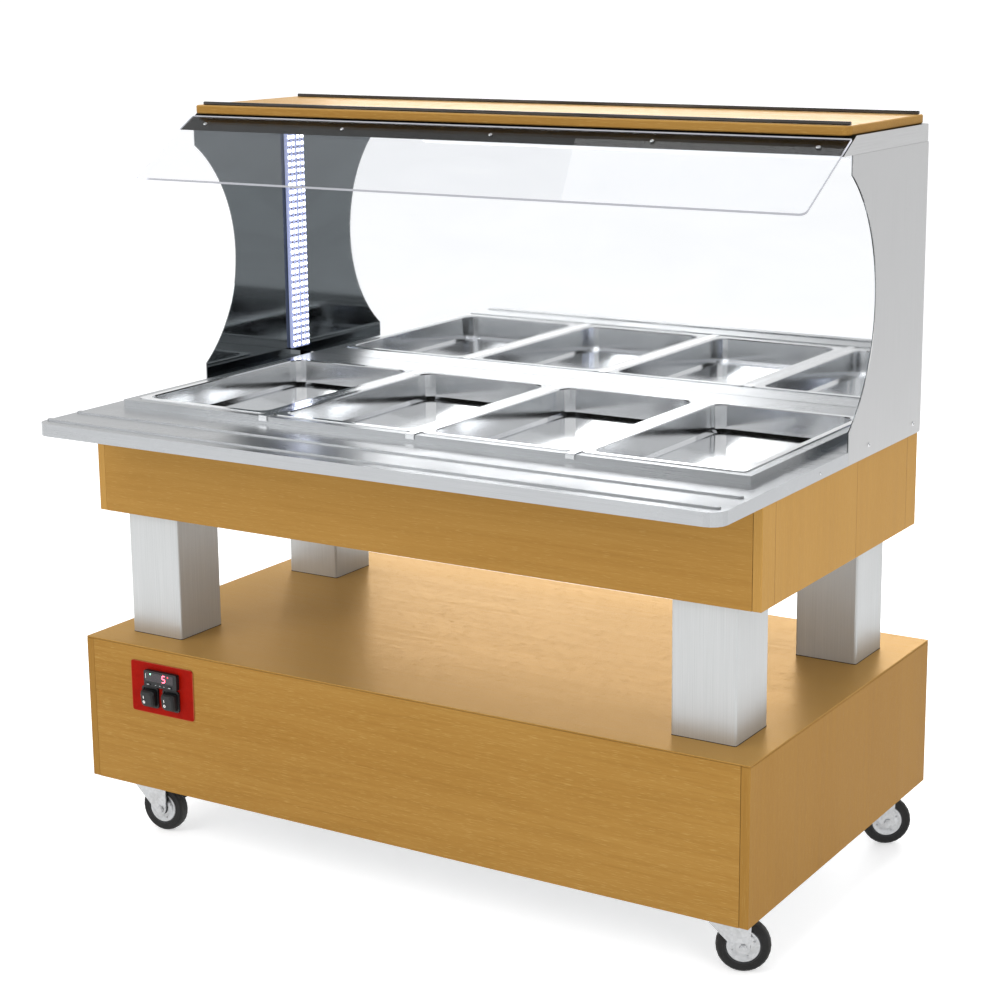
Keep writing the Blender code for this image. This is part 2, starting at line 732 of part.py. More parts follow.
def condensing_unit():
    """Hermetic compressor, and a finned condenser with its fan shroud, motor and rotor."""
    black = material("black_enamel", (0.02, 0.02, 0.022), 0.35)
    foot = FLOOR_TOP + GAP
    dome = [(0.088, foot), (0.088, foot + 0.006), (0.072, foot + 0.010), (0.078, foot + 0.050),
            (0.078, foot + 0.100), (0.070, foot + 0.128), (0.048, foot + 0.148), (0.016, foot + 0.156)]
    turned("compressor", dome, "Z", black, segments=24, centre=(*COMPRESSOR, 0.0))

    x, z = FAN_CENTRE
    core = box("condenser", (x - 0.12, 0.390, foot), (x + 0.12, 0.440, z + 0.105), black)
    for fin in range(5):
        fin_x = x - 0.088 + 0.044 * fin
        cut(core, box(f"cut_fin_{fin}", (fin_x - 0.012, 0.402, foot + 0.012),
                      (fin_x + 0.012, 0.450, z + 0.093)))
    shroud = box("join_shroud", (x - 0.12, 0.350, foot), (x + 0.12, 0.353, z + 0.105))
    sides = [
        box(f"join_shroud_{n}", (x + edge - 0.003, 0.351, foot + 0.001), (x + edge + 0.003, 0.392, z + 0.104))
        for n, edge in enumerate((-0.116, 0.116))
    ]
    join(core, shroud, *sides)
    fan_at = (x, 0.0, z)
    cut(core, turned("cut_shroud", [(FAN_RADIUS + 0.006, 0.340), (FAN_RADIUS + 0.006, 0.3955)], "Y",
                     segments=28, centre=fan_at))
    motor = turned("join_motor", [(0.026, 0.290), (0.030, 0.294), (0.030, 0.322), (0.026, 0.326)],
                   "Y", segments=16, centre=fan_at)
    shaft = turned("join_shaft", [(0.003, 0.320), (0.003, 0.372)], "Y", segments=12, centre=fan_at)
    struts = [
        box("join_strut_low", (x - 0.115, 0.300, z - 0.006), (x + 0.115, 0.304, z + 0.006)),
        box("join_strut_left", (x - 0.115, 0.300, z - 0.006), (x - 0.109, 0.352, z + 0.006)),
        box("join_strut_right", (x + 0.109, 0.300, z - 0.006), (x + 0.115, 0.352, z + 0.006)),
    ]
    join(core, motor, shaft, *struts)
    fan_rotor(fan_at)


def fan_rotor(fan_at):
    blade_finish = material("fan_grey", (0.30, 0.31, 0.32), 0.4)
    start, end = 0.334, 0.366
    hub = turned("fan_rotor", [(0.0034, start), (0.020, start), (0.020, end), (0.0034, end)], "Y",
                 blade_finish, wrap=True, segments=20, location=fan_at)
    blades = 5
    for number in range(blades):
        blade = box(f"join_blade_{number}", (0.016, -0.001, -0.024), (FAN_RADIUS, 0.001, 0.024))
        lay = Matrix.Rotation(math.radians(28), 4, "X")
        blade.data.transform(Matrix.Translation(blade.location))
        blade.location = (0, (start + end) / 2, 0)
        blade.data.transform(lay)
        blade.rotation_euler.y = 2 * math.pi * number / blades
        blade.parent = hub
        join(hub, blade)


# ---------------------------------------------------------------- casters

def caster_fork(name, swivel, braked):
    """Bearing ring, crown, two arms and the axle, round a swivel axis at the empty's origin."""
    arm_in, arm_out = 0.0165, 0.0195
    fork = turned(f"{name}_fork", [(0.020, 0.1120), (0.024, 0.1150), (0.024, 0.1185), (0.017, 0.1213)],
                  "Z", zinc(), segments=20, parent=swivel)
    join(fork, box(f"join_{name}_crown", (-0.0255, -0.0190, 0.1105), (0.0495, 0.0190, 0.1135),
                   parent=swivel))
    outline = [(-0.026, 0.1128), (-0.026, 0.0960)]
    eye = 0.0125
    for i in range(7):
        turn = math.radians(215 + (360 - 215) * i / 6)
        outline.append((CASTER_TRAIL + eye * math.cos(turn), WHEEL_RADIUS + eye * math.sin(turn)))
    outline.append((0.050, 0.1128))
    for sign in (-1, 1):
        ys = sorted((sign * arm_in, sign * arm_out))
        join(fork, prism(f"join_{name}_arm_{sign + 1}", outline, "Y", *ys, parent=swivel))
    end = 0.0235
    axle = turned(f"join_{name}_axle", [(AXLE_RADIUS, -end), (AXLE_RADIUS, end)], "Y", segments=16,
                  centre=(CASTER_TRAIL, 0.0, WHEEL_RADIUS), parent=swivel)
    join(fork, axle)
    for sign in (-1, 1):
        heads = sorted((sign * (arm_out - 0.0005), sign * 0.0225))
        join(fork, turned(f"join_{name}_nut_{sign + 1}", [(0.0075, heads[0]), (0.0075, heads[1])], "Y",
                          segments=6, centre=(CASTER_TRAIL, 0.0, WHEEL_RADIUS), parent=swivel))
    if braked:
        cut(fork, turned(f"cut_{name}_pin", [(0.0024, -0.03), (0.0024, 0.03)], "Y", segments=12,
                         centre=(PEDAL_PIVOT[0], 0.0, PEDAL_PIVOT[1]), parent=swivel))


def caster_wheel(name, swivel):
    """Rubber tyre on a pressed rim, bored for the axle."""
    half = [
        (AXLE_RADIUS + GAP, 0.0155), (0.0120, 0.0155), (0.0140, 0.0100), (0.0300, 0.0090),
        (0.0330, 0.0125), (0.0450, 0.0125), (0.0492, 0.0080), (WHEEL_RADIUS, 0.0030),
    ]
    profile = half + [(radius, -along) for radius, along in reversed(half)]
    tyre = material("tyre_rubber", (0.02, 0.02, 0.02), 0.7)
    turned(f"{name}_wheel", profile, "Y", tyre, wrap=True, segments=28,
           location=(CASTER_TRAIL, 0.0, WHEEL_RADIUS), parent=swivel)


def caster_pedal(name, swivel):
    """Brake lever on a pin through the fork arms, with its origin on the pin."""
    pedal = turned(f"{name}_pedal", [(0.0020, -0.0205), (0.0020, -0.0160), (0.0040, -0.0160),
                                     (0.0040, 0.0160), (0.0020, 0.0160), (0.0020, 0.0205)],
                   "Y", black_plastic(), segments=12,
                   location=(PEDAL_PIVOT[0], 0.0, PEDAL_PIVOT[1]), parent=swivel)
    lever = box(f"join_{name}_lever", (0.0005, -0.0150, -0.0020), (0.0555, 0.0150, 0.0020))
    lever.data.transform(Matrix.Translation(lever.location))
    lever.location = (0, 0, 0)
    lever.rotation_euler.y = math.radians(22)
    lever.parent = pedal
    join(pedal, bevel(lever, 0.0015))


def casters():
    for place, (x, y, turn, braked) in CASTERS.items():
        name = f"caster_{place}"
        top = BASE_BOTTOM - GAP
        bevel(box(f"{name}_plate", (x - 0.0425, y - 0.034, top - SHEET), (x + 0.0425, y + 0.034, top),
                  zinc()), 0.001)
        swivel = bpy.data.objects.new(f"{name}_swivel_axis", None)
        bpy.context.scene.collection.objects.link(swivel)
        swivel.location = (x, y, 0.0)
        swivel.rotation_euler.z = math.radians(turn)
        caster_fork(name, swivel, braked)
        caster_wheel(name, swivel)
        if braked:
            caster_pedal(name, swivel)


clear_scene()
base_box()
posts()
apron()
countertop()
well()
pans()
divider_bars()
supports()
back_panel()
led_profiles()
canopy()
pane()
shelf()
control_plate()
thermostat()
switches()
condensing_unit()
casters()
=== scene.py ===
"""Looks of the refrigerated buffet trolley: oak, steel, acrylic, controls, light strips and casters."""

import json
import math

import bmesh
import bpy
from mathutils import Euler, Matrix, Vector


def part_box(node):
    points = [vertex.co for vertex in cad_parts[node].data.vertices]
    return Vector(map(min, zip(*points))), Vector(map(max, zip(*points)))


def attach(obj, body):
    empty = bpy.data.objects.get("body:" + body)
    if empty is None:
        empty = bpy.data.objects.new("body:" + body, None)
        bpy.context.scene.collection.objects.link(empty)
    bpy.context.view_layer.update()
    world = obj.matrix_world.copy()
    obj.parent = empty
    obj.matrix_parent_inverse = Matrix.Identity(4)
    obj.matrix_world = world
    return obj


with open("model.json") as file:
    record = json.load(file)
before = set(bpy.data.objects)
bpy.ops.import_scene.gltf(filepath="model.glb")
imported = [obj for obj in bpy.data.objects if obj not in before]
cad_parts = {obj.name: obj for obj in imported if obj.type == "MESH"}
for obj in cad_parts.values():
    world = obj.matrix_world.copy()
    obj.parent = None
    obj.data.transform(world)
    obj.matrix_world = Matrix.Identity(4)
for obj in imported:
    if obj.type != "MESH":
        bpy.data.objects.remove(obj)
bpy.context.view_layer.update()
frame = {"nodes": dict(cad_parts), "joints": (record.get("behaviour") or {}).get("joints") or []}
nodes = frame["nodes"]
joints = {joint["name"]: joint for joint in frame["joints"]}

ROOT = "trolley"
CASTERS = ("caster_front_left", "caster_front_right", "caster_rear_left", "caster_rear_right")
SIDES = ("left", "right")
ENDS = ("front", "rear")
PROUD = 0.0002  # how far a printed mark stands off the face under it
SEAM_HALF_WIDTH = 0.0006
CIRCLE = 2 * math.pi
SHARP_ANGLE = math.radians(35)

# Oak veneer. The lustre is how far it reflects in the wood's own colour, as a metal would.
OAK_DARK = (0.215, 0.103, 0.019)
OAK_MID = (0.280, 0.143, 0.031)
OAK_LIGHT = (0.345, 0.193, 0.050)
OAK_PALE = (0.640, 0.380, 0.120)
OAK_FLECK = (0.600, 0.405, 0.140)
OAK_SEAM = (0.160, 0.066, 0.010)
OAK_LUSTRE = 0.30
OAK_SHEEN = (1.0, 0.80, 0.50, 1.0)
APRON_STILE = 0.052
APRON_MIDDLE_SEAM = 0.055  # from the middle of the apron's side, towards the back

# Steel
SHEET_TONE = (0.42, 0.43, 0.44)
POST_TONE = (0.47, 0.48, 0.48)
BRIGHT_TONE = (0.70, 0.71, 0.72)
TUB_TONE = (0.74, 0.75, 0.76)
PAN_TONE = (0.76, 0.77, 0.78)
# The supports' polished inner faces get a near-black tone: painted dark reflection, far darker than polished
# steel is.
SUPPORT_INNER_PAINTED_REFLECTION = (0.135, 0.150, 0.158)
SUPPORT_OUTER = (0.46, 0.46, 0.46)
PANS = 4

# Pieces with two finishes: how deep the outer face's own finish goes
SUPPORT_SKIN = 0.0015
# The canopy's near-black middle is painted shade, with steel only at its ends.
CAP_SKIN = 0.0005
MIRROR_SKIN = 0.0008

# Screws, and the painted shadow at the posts' feet
PANE_SLOPE = math.radians(30.5)
PANE_SCREW_XS = (-0.69, -0.34, 0.01, 0.36, 0.69)
PANE_SCREW_DOWN = 0.030
SCREW_RADIUS = 0.0045
HEAD_PROFILE = ((1.0, -0.25), (1.0, 0.10), (0.92, 0.30), (0.74, 0.44), (0.56, 0.50))
SOCKET_PROFILE = ((0.50, 0.47), (0.47, 0.12))
HEAD_SEGMENTS = 24
SUPPORT_SCREW_FRONT = 0.105  # behind the support's front edge
SUPPORT_SCREW_REAR = 0.040  # before its rear edge
SUPPORT_SCREW_UP = 0.022
FASCIA_SCREW_RADIUS = 0.0028
FASCIA_SCREW_Y = -0.075
FASCIA_SCREW_UP = 0.012
BOLT_INSET = 0.009
FOOT_SHADOW_SUNK = 0.0003
FOOT_SHADOW_SPREAD = 0.0008
FOOT_SHADOW_THICK = 0.0016
FOOT_SHADOW_CORNER = 0.0045

# Pads: corner radius and eased edge as shares of the shorter side, and points round a corner
PAD_CORNER = 0.3
PAD_EASE = 0.15
PAD_CORNER_POINTS = 4
SMALLEST_CORNER = 1e-5

# Light strips
CHIP_PITCH = 0.0150
CHIP_START = 0.008
CHIP_END = 0.012
CHIP_COLUMNS = (0.26, 0.74)
CHIP_SIZE = (0.0095, 0.0070)
CHIP_THICK = 0.0010
RESISTOR_SIZE = (0.0042, 0.0036)
RESISTOR_ASIDE = 0.0012
RESISTOR_THICK = 0.0006

# Thermostat and switches
DISPLAY_MIDDLE = 0.0125  # below the bezel's top
WINDOW_SIZE = (0.072, 0.0185)
WINDOW_ASIDE = 0.002
WINDOW_CORNER = 0.002
WINDOW_THICK = 0.0005
DIGIT_SIZE = (0.0095, 0.0155)
DIGIT_ASIDE = 0.0095
DIGIT_LEAN = 0.12
BAR_WIDTH = 0.13  # of the digit's height
BAR_GAP = 0.12  # of the bar's width
PRINT_THICK = 0.0003
DOT_PLACE, DOT_SIZE = (0.0205, 0.0070), 0.0024  # aside from the bezel's middle, below its top
LAMP_PLACE, LAMP_SIZE = (-0.0245, 0.0065), 0.0030
LONG_MARK_PLACE, LONG_MARK_SIZE = (0.0050, 0.0115), (0.0016, 0.0100)  # from the bezel's top left
SMALL_MARK_XS, SMALL_MARK_UP, SMALL_MARK_SIZE = (0.030, 0.041, 0.052), 0.0045, (0.0030, 0.0011)
KEY_MARK_SIZE = (0.0060, 0.0014)
ROCKER_TILT = math.radians(7)
ROCKER_FACE = -0.0170  # from the rocker's pivot, as are the places of its marks
ROCKER_MARK_X = -0.0065
STROKE_MARK_Z, STROKE_MARK_SIZE, STROKE_MARK_CORNER = 0.0045, (0.0016, 0.0062), 0.0006
RING_MARK_Z, RING_MARK_OUTER, RING_MARK_INNER, RING_MARK_SEGMENTS = -0.0060, 0.0030, 0.0017, 20

# Wheels, as radii about the axle and distances from the wheel's middle plane
TYRE_RING_PITCH = 0.0035
TREAD_START, TREAD_END = 0.0455, 0.0490
HUB_START, HUB_END = 0.0335, 0.0325
WALL_START, WALL_END = 0.033, 0.035
HUB_PROFILE = (
    (0.0125, 0.0092), (0.0315, 0.0088), (0.0315, 0.0098), (0.0300, 0.0112), (0.0262, 0.0112),
    (0.0245, 0.0102), (0.0190, 0.0102), (0.0165, 0.0118), (0.0128, 0.0120),
)
HUB_SEGMENTS = 40
RIVET_CIRCLE = 0.0218
RIVET_FACE = 0.0102
RIVET_RADIUS = 0.0022
RIVET_TURN = 0.4

# Stage
FLOOR_SIZE = 600
FLOOR_LIFT = 0.40  # the floor's own light, which keeps it as pale as the photograph's ground
LIGHTS = {
    # name: (place, target, size, power, seen in reflections)
    "key": ((-2.6, -3.4, 3.2), (0, 0, 0.7), (2.4, 2.4), 70, True),
    "fill": ((3.6, -2.0, 1.4), (0, 0, 0.6), (2.0, 2.4), 40, False),
    "top": ((0.0, 0.2, 4.2), (0, 0, 0.8), (3.0, 2.4), 62, False),
    "rear": ((-1.5, 4.0, 1.6), (0, 0, 0.5), (3.0, 2.0), 60, True),
}
SKY = ((0.30, (1.0, 1.0, 1.0, 1)), (0.85, (0.56, 0.57, 0.59, 1)))  # (height, colour)
EYE_PLACE = (2.2523, -3.5523, 1.7529)
EYE_YAW, EYE_DOWN, EYE_ROLL = 31.335, 12.157, -0.425  # degrees
EYE_SENSOR, EYE_LENS = 36.0, 78.57
EYE_SHIFT = (-0.025, -0.060)


# ---------------------------------------------------------------- materials

class Look:
    """A node material whose textures lie in the piece's own coordinates, in metres."""

    def __init__(self, name, roughness=0.5, metallic=0.0, **sockets):
        self.material = bpy.data.materials.new(name)
        self.material.use_nodes = True
        self.tree = self.material.node_tree
        self.shader = self.tree.nodes["Principled BSDF"]
        self.constant("Roughness", roughness)
        self.constant("Metallic", metallic)
        for socket, value in sockets.items():
            self.constant(socket.replace("_", " "), value)
        self.place = self.node("ShaderNodeTexCoord").outputs["Object"]

    def constant(self, socket, value):
        self.shader.inputs[socket].default_value = value

    def node(self, kind, **settings):
        made = self.tree.nodes.new(kind)
        for name, value in settings.items():
            setattr(made, name, value)
        return made

    def feed(self, source, target):
        """Connects source to the socket, or writes it there if it is a number or a colour."""
        if isinstance(source, bpy.types.NodeSocket):
            self.tree.links.new(source, target)
        elif isinstance(source, tuple) and len(source) == 3 and target.type == "RGBA":
            target.default_value = (*source, 1.0)
        else:
            target.default_value = source

    def drive(self, socket, source):
        self.feed(source, self.shader.inputs[socket])

    def noise(self, scale, detail=3.0, roughness=0.5, distortion=0.0):
        """Noise from 0 to 1 with its own fineness along each axis, in features per metre."""
        mapping = self.node("ShaderNodeMapping")
        mapping.inputs["Scale"].default_value = scale
        self.feed(self.place, mapping.inputs["Vector"])
        made = self.node("ShaderNodeTexNoise")
        made.inputs["Scale"].default_value = 1.0
        made.inputs["Detail"].default_value = detail
        made.inputs["Roughness"].default_value = roughness
        made.inputs["Distortion"].default_value = distortion
        self.feed(mapping.outputs["Vector"], made.inputs["Vector"])
        return made.outputs["Fac"]

    def ramp(self, value, *stops):
        """Colour ramp from (position, colour) stops."""
        made = self.node("ShaderNodeValToRGB")
        elements = made.color_ramp.elements
        while len(elements) < len(stops):
            elements.new(0.5)
        for element, (position, colour) in zip(elements, stops):
            element.position = position
            element.color = (*colour, 1.0)
        self.feed(value, made.inputs["Fac"])
        return made.outputs["Color"]

    def span(self, value, low, high, start=0.0, end=1.0):
        """Maps value from low..high to start..end, and clamps it."""
        made = self.node("ShaderNodeMapRange")
        for socket, number in zip(("From Min", "From Max", "To Min", "To Max"), (low, high, start, end)):
            made.inputs[socket].default_value = number
        self.feed(value, made.inputs["Value"])
        return made.outputs["Result"]

    def math(self, operation, first, second=0.0):
        made = self.node("ShaderNodeMath", operation=operation)
        self.feed(first, made.inputs[0])
        self.feed(second, made.inputs[1])
        return made.outputs["Value"]

    def blend(self, amount, first, second):
        made = self.node("ShaderNodeMix", data_type="RGBA", blend_type="MIX")
        self.feed(amount, made.inputs["Factor"])
        self.feed(first, made.inputs[6])
        self.feed(second, made.inputs[7])
        return made.outputs[2]

    def axis(self, name, place=None):
        split = self.node("ShaderNodeSeparateXYZ")
        self.feed(place or self.place, split.inputs["Vector"])
        return split.outputs[name]

    def bump(self, height, strength, distance):
        made = self.node("ShaderNodeBump")
        made.inputs["Strength"].default_value = strength
        made.inputs["Distance"].default_value = distance
        self.feed(height, made.inputs["Height"])
        self.drive("Normal", made.outputs["Normal"])

    def line_at(self, name, position, half_width):
        """1 on a thin line across the named axis, and 0 elsewhere."""
        away = self.math("ABSOLUTE", self.math("SUBTRACT", self.axis(name), position))
        return self.span(away, half_width, half_width * 1.6, 1.0, 0.0)


def across(along, fine, coarse):
    """Scales with the coarse one along the named axis and the fine one across it."""
    return tuple(coarse if axis == along else fine for axis in "XYZ")


def scaled(colour, factor):
    """A colour made darker or lighter, within 1."""
    return tuple(min(1.0, factor * value) for value in colour)


def oak(name, along, joints_at=(), tone=0.0, upper=0.0):
    """Varnished oak veneer: slow figure, wavy growth lines and short pale flecks along the grain.

    joints_at holds (axis, position) of the seams between boards. tone shifts the colour to pale or,
    below 0, to dark, and upper is painted light: how much paler the faces that look up are made.
    """
    look = Look(name, metallic=OAK_LUSTRE, Specular_IOR_Level=0.05, Specular_Tint=OAK_SHEEN)
    figure = look.noise(across(along, 7.0, 0.9), detail=3.0, distortion=0.4)
    growth = look.noise(across(along, 85.0, 2.2), detail=5.0, roughness=0.62, distortion=0.8)
    fibre = look.noise(across(along, 520.0, 24.0), detail=3.0, roughness=0.6)
    flecks = look.span(look.noise(across(along, 760.0, 42.0), detail=1.0), 0.60, 0.72)
    wide = look.ramp(figure, (0.30, OAK_MID), (0.70, OAK_LIGHT))
    lines = look.ramp(growth, (0.34, OAK_DARK), (0.50, OAK_MID), (0.68, OAK_LIGHT))
    colour = look.blend(0.42, wide, lines)
    colour = look.blend(look.span(fibre, 0.35, 0.70, 0.0, 0.28), colour, OAK_LIGHT)
    colour = look.blend(look.math("MULTIPLY", flecks, 0.26), colour, OAK_FLECK)
    if tone:
        colour = look.blend(abs(tone), colour, OAK_PALE if tone > 0 else OAK_DARK)
    # Painted light: the faces that look up are blended towards pale oak, as if lit from above.
    if upper:
        up = look.axis("Z", look.node("ShaderNodeTexCoord").outputs["Normal"])
        colour = look.blend(look.span(up, 0.5, 0.9, 0.0, upper), colour, OAK_PALE)
    grooves = None
    for axis, position in joints_at:
        line = look.line_at(axis, position, SEAM_HALF_WIDTH)
        grooves = line if grooves is None else look.math("MAXIMUM", grooves, line)
    height = look.math("SUBTRACT", look.math("MULTIPLY", fibre, 0.4), look.math("MULTIPLY", flecks, 0.8))
    if grooves is not None:
        colour = look.blend(look.math("MULTIPLY", grooves, 0.75), colour, OAK_SEAM)
        height = look.math("SUBTRACT", height, grooves)
    look.drive("Base Color", colour)
    rough = look.math("ADD", look.span(growth, 0.3, 0.7, 0.30, 0.40), look.math("MULTIPLY", flecks, 0.25))
    look.drive("Roughness", rough)
    look.bump(height, 0.35, 0.0006)
    return look


def brushed(name, along, tone, roughness, metal=1.0):
    """Stainless sheet brushed along one axis, with faint handling marks."""
    look = Look(name, metallic=metal)
    strokes = look.noise(across(along, 1400.0, 5.0), detail=3.0, roughness=0.7)
    clouds = look.noise((5.0, 5.0, 5.0), detail=4.0, roughness=0.6)
    look.drive("Base Color", look.ramp(strokes, (0.28, scaled(tone, 0.86)), (0.72, scaled(tone, 1.10))))
    base = look.span(clouds, 0.3, 0.7, roughness - 0.05, roughness + 0.06)
    look.drive("Roughness", look.math("ADD", base, look.span(strokes, 0.3, 0.7, -0.03, 0.05)))
    look.bump(strokes, 0.12, 0.0002)
    return look


def polished(name, tone, roughness):
    """Mirror-polished sheet with faint wiping marks and hairline scratches."""
    look = Look(name, metallic=1.0)
    wipes = look.noise((3.0, 3.0, 9.0), detail=5.0, roughness=0.65, distortion=1.2)
    hairs = look.noise((40.0, 900.0, 120.0), detail=2.0)
    look.drive("Base Color", look.ramp(wipes, (0.30, scaled(tone, 0.93)), (0.70, tone)))
    look.drive("Roughness", look.span(wipes, 0.35, 0.75, roughness, roughness + 0.07))
    look.bump(hairs, 0.03, 0.0001)
    return look


def mirror_panel(middle):
    """Mirror-polished sheet in front of y = middle, and plain brushed steel on its back."""
    look = Look("mirror panel", metallic=1.0)
    back = look.math("GREATER_THAN", look.axis("Y"), middle)
    wipes = look.noise((3.0, 3.0, 9.0), detail=5.0, roughness=0.65, distortion=1.2)
    strokes = look.noise(across("X", 1400.0, 5.0), detail=3.0, roughness=0.7)
    mirror = look.ramp(wipes, (0.30, (0.86, 0.87, 0.88)), (0.70, (0.90, 0.91, 0.92)))
    plain = look.ramp(strokes, (0.28, (0.33, 0.34, 0.34)), (0.72, (0.42, 0.43, 0.43)))
    look.drive("Base Color", look.blend(back, mirror, plain))
    smooth = look.span(wipes, 0.35, 0.75, 0.015, 0.06)
    dull = look.span(strokes, 0.3, 0.7, 0.34, 0.44)
    gap = look.math("SUBTRACT", dull, smooth)
    look.drive("Roughness", look.math("ADD", smooth, look.math("MULTIPLY", back, gap)))
    look.bump(look.math("MULTIPLY", strokes, back), 0.10, 0.0002)
    return look


def two_faced(name, along, far, inner_tone, outer_tone):
    """Steel that is polished where |x| is under far and brushed beyond it."""
    look = Look(name, metallic=1.0)
    outer = look.math("GREATER_THAN", look.math("ABSOLUTE", look.axis("X")), far)
    strokes = look.noise(across(along, 1400.0, 5.0), detail=3.0, roughness=0.7)
    wipes = look.noise((3.0, 3.0, 7.0), detail=5.0, roughness=0.6, distortion=1.0)
    brushed_colour = look.ramp(strokes, (0.28, scaled(outer_tone, 0.88)), (0.72, scaled(outer_tone, 1.08)))
    polished_colour = look.ramp(wipes, (0.3, scaled(inner_tone, 0.85)), (0.7, inner_tone))
    look.drive("Base Color", look.blend(outer, polished_colour, brushed_colour))
    smooth = look.span(wipes, 0.35, 0.75, 0.04, 0.12)
    rough = look.span(strokes, 0.3, 0.7, 0.27, 0.36)
    gap = look.math("SUBTRACT", rough, smooth)
    look.drive("Roughness", look.math("ADD", smooth, look.math("MULTIPLY", outer, gap)))
    look.bump(look.math("MULTIPLY", strokes, outer), 0.10, 0.0002)
    return look


def dark_cap(far):
    """Steel cap painted near black on its front as painted shade and dark reflection, with brushed steel
    ends beyond |x| = far.
    """
    look = Look("canopy steel", Specular_IOR_Level=0.02)
    end = look.math("GREATER_THAN", look.math("ABSOLUTE", look.axis("X")), far)
    strokes = look.noise(across("Y", 1400.0, 5.0), detail=3.0, roughness=0.7)
    clouds = look.noise((6.0, 6.0, 6.0), detail=4.0)
    # Painted shade: the near-black front stands for the dark reflections that the shaded steel front shows.
    painted_shade = look.ramp(clouds, (0.3, (0.0075, 0.0075, 0.0060)), (0.7, (0.013, 0.013, 0.011)))
    steel_ends = look.ramp(strokes, (0.28, (0.43, 0.43, 0.43)), (0.72, (0.52, 0.52, 0.52)))
    look.drive("Base Color", look.blend(end, painted_shade, steel_ends))
    look.drive("Metallic", end)
    look.drive("Roughness", look.span(clouds, 0.3, 0.7, 0.26, 0.36))
    look.bump(strokes, 0.06, 0.0002)
    return look


def plastic(name, colour, roughness=0.42, grain=1500.0, depth=0.15, **sockets):
    """Plastic, rubber, print or enamel with a fine grain and slight scuffing."""
    look = Look(name, **sockets)
    fine = look.noise((grain, grain, grain), detail=2.0)
    scuffs = look.noise((35.0, 35.0, 35.0), detail=5.0, roughness=0.65)
    lifted = tuple(min(1.0, value * 1.5 + 0.006) for value in colour)
    look.drive("Base Color", look.ramp(scuffs, (0.40, colour), (0.80, lifted)))
    look.drive("Roughness", look.span(scuffs, 0.3, 0.7, roughness - 0.06, roughness + 0.08))
    look.bump(fine, depth, 0.0002)
    return look


def zinc(name):
    """Zinc-plated steel with fine spangle and a little staining."""
    look = Look(name, metallic=1.0)
    spangle = look.node("ShaderNodeTexVoronoi", feature="F1")
    spangle.inputs["Scale"].default_value = 230.0
    look.feed(look.place, spangle.inputs["Vector"])
    stain = look.noise((40.0, 40.0, 40.0), detail=4.0)
    crystal = look.axis("X", spangle.outputs["Color"])
    crystals = look.ramp(crystal, (0.0, (0.44, 0.45, 0.46)), (1.0, (0.52, 0.53, 0.54)))
    stained = look.span(stain, 0.45, 0.75, 0.0, 0.25)
    look.drive("Base Color", look.blend(stained, crystals, (0.36, 0.35, 0.33)))
    look.drive("Roughness", look.span(stain, 0.3, 0.7, 0.28, 0.46))
    look.bump(stain, 0.08, 0.0002)
    return look


def clear_pane():
    """Clear acrylic with a painted glow on its cut edges."""
    look = Look("clear acrylic", roughness=0.0, Transmission_Weight=1.0, IOR=1.20)
    tilt = look.node("ShaderNodeTexCoord").outputs["Normal"]
    low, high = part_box("pane")
    slope = math.atan2(high.z - low.z, high.y - low.y)
    facing = look.node("ShaderNodeVectorMath", operation="DOT_PRODUCT")
    look.feed(tilt, facing.inputs[0])
    facing.inputs[1].default_value = (0.0, -math.sin(slope), math.cos(slope))
    edge = look.span(look.math("ABSOLUTE", facing.outputs["Value"]), 0.5, 0.8, 1.0, 0.0)
    smear = look.noise((4.0, 4.0, 4.0), detail=4.0)
    look.drive("Base Color", look.blend(edge, (0.935, 0.938, 0.948), (0.30, 0.31, 0.35)))
    # Painted highlight: the cut edges are given their own emission.
    look.drive("Emission Color", look.blend(edge, (0.0, 0.0, 0.0), (0.80, 0.81, 0.88)))
    look.constant("Emission Strength", 0.62)
    haze = look.span(smear, 0.55, 0.85, 0.0, 0.02)
    look.drive("Roughness", look.math("ADD", haze, look.math("MULTIPLY", edge, 0.25)))
    return look


def red_plate():
    """Dark red enamelled plate, paler in a thin band round its edge."""
    look = Look("red control plate", Specular_IOR_Level=0.03)
    low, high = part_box("control_plate")
    margin = 0.0012
    sides = []
    for name, first, last in (("X", low.x, high.x), ("Z", low.z, high.z)):
        middle, half = (first + last) / 2, (last - first) / 2
        away = look.math("ABSOLUTE", look.math("SUBTRACT", look.axis(name), middle))
        sides.append(look.span(away, half - margin, half - margin / 2))
    rim = look.math("MAXIMUM", *sides)
    flow = look.noise((60.0, 60.0, 60.0), detail=4.0)
    red = look.ramp(flow, (0.3, (0.235, 0.0045, 0.0015)), (0.7, (0.290, 0.0065, 0.0025)))
    look.drive("Base Color", look.blend(look.math("MULTIPLY", rim, 0.35), red, (0.55, 0.22, 0.10)))
    look.drive("Roughness", look.span(flow, 0.3, 0.7, 0.32, 0.42))
    look.bump(look.noise((1800.0, 1800.0, 1800.0), detail=1.0), 0.10, 0.0001)
    return look


def glow(name, colour, strength):
    """A lit lens with slightly uneven brightness."""
    look = Look(name, roughness=0.3)
    uneven = look.noise((300.0, 300.0, 300.0), detail=2.0)
    shade = look.ramp(uneven, (0.3, scaled(colour, 0.8)), (0.7, colour))
    look.drive("Base Color", shade)
    look.drive("Emission Color", shade)
    look.constant("Emission Strength", strength)
    return look


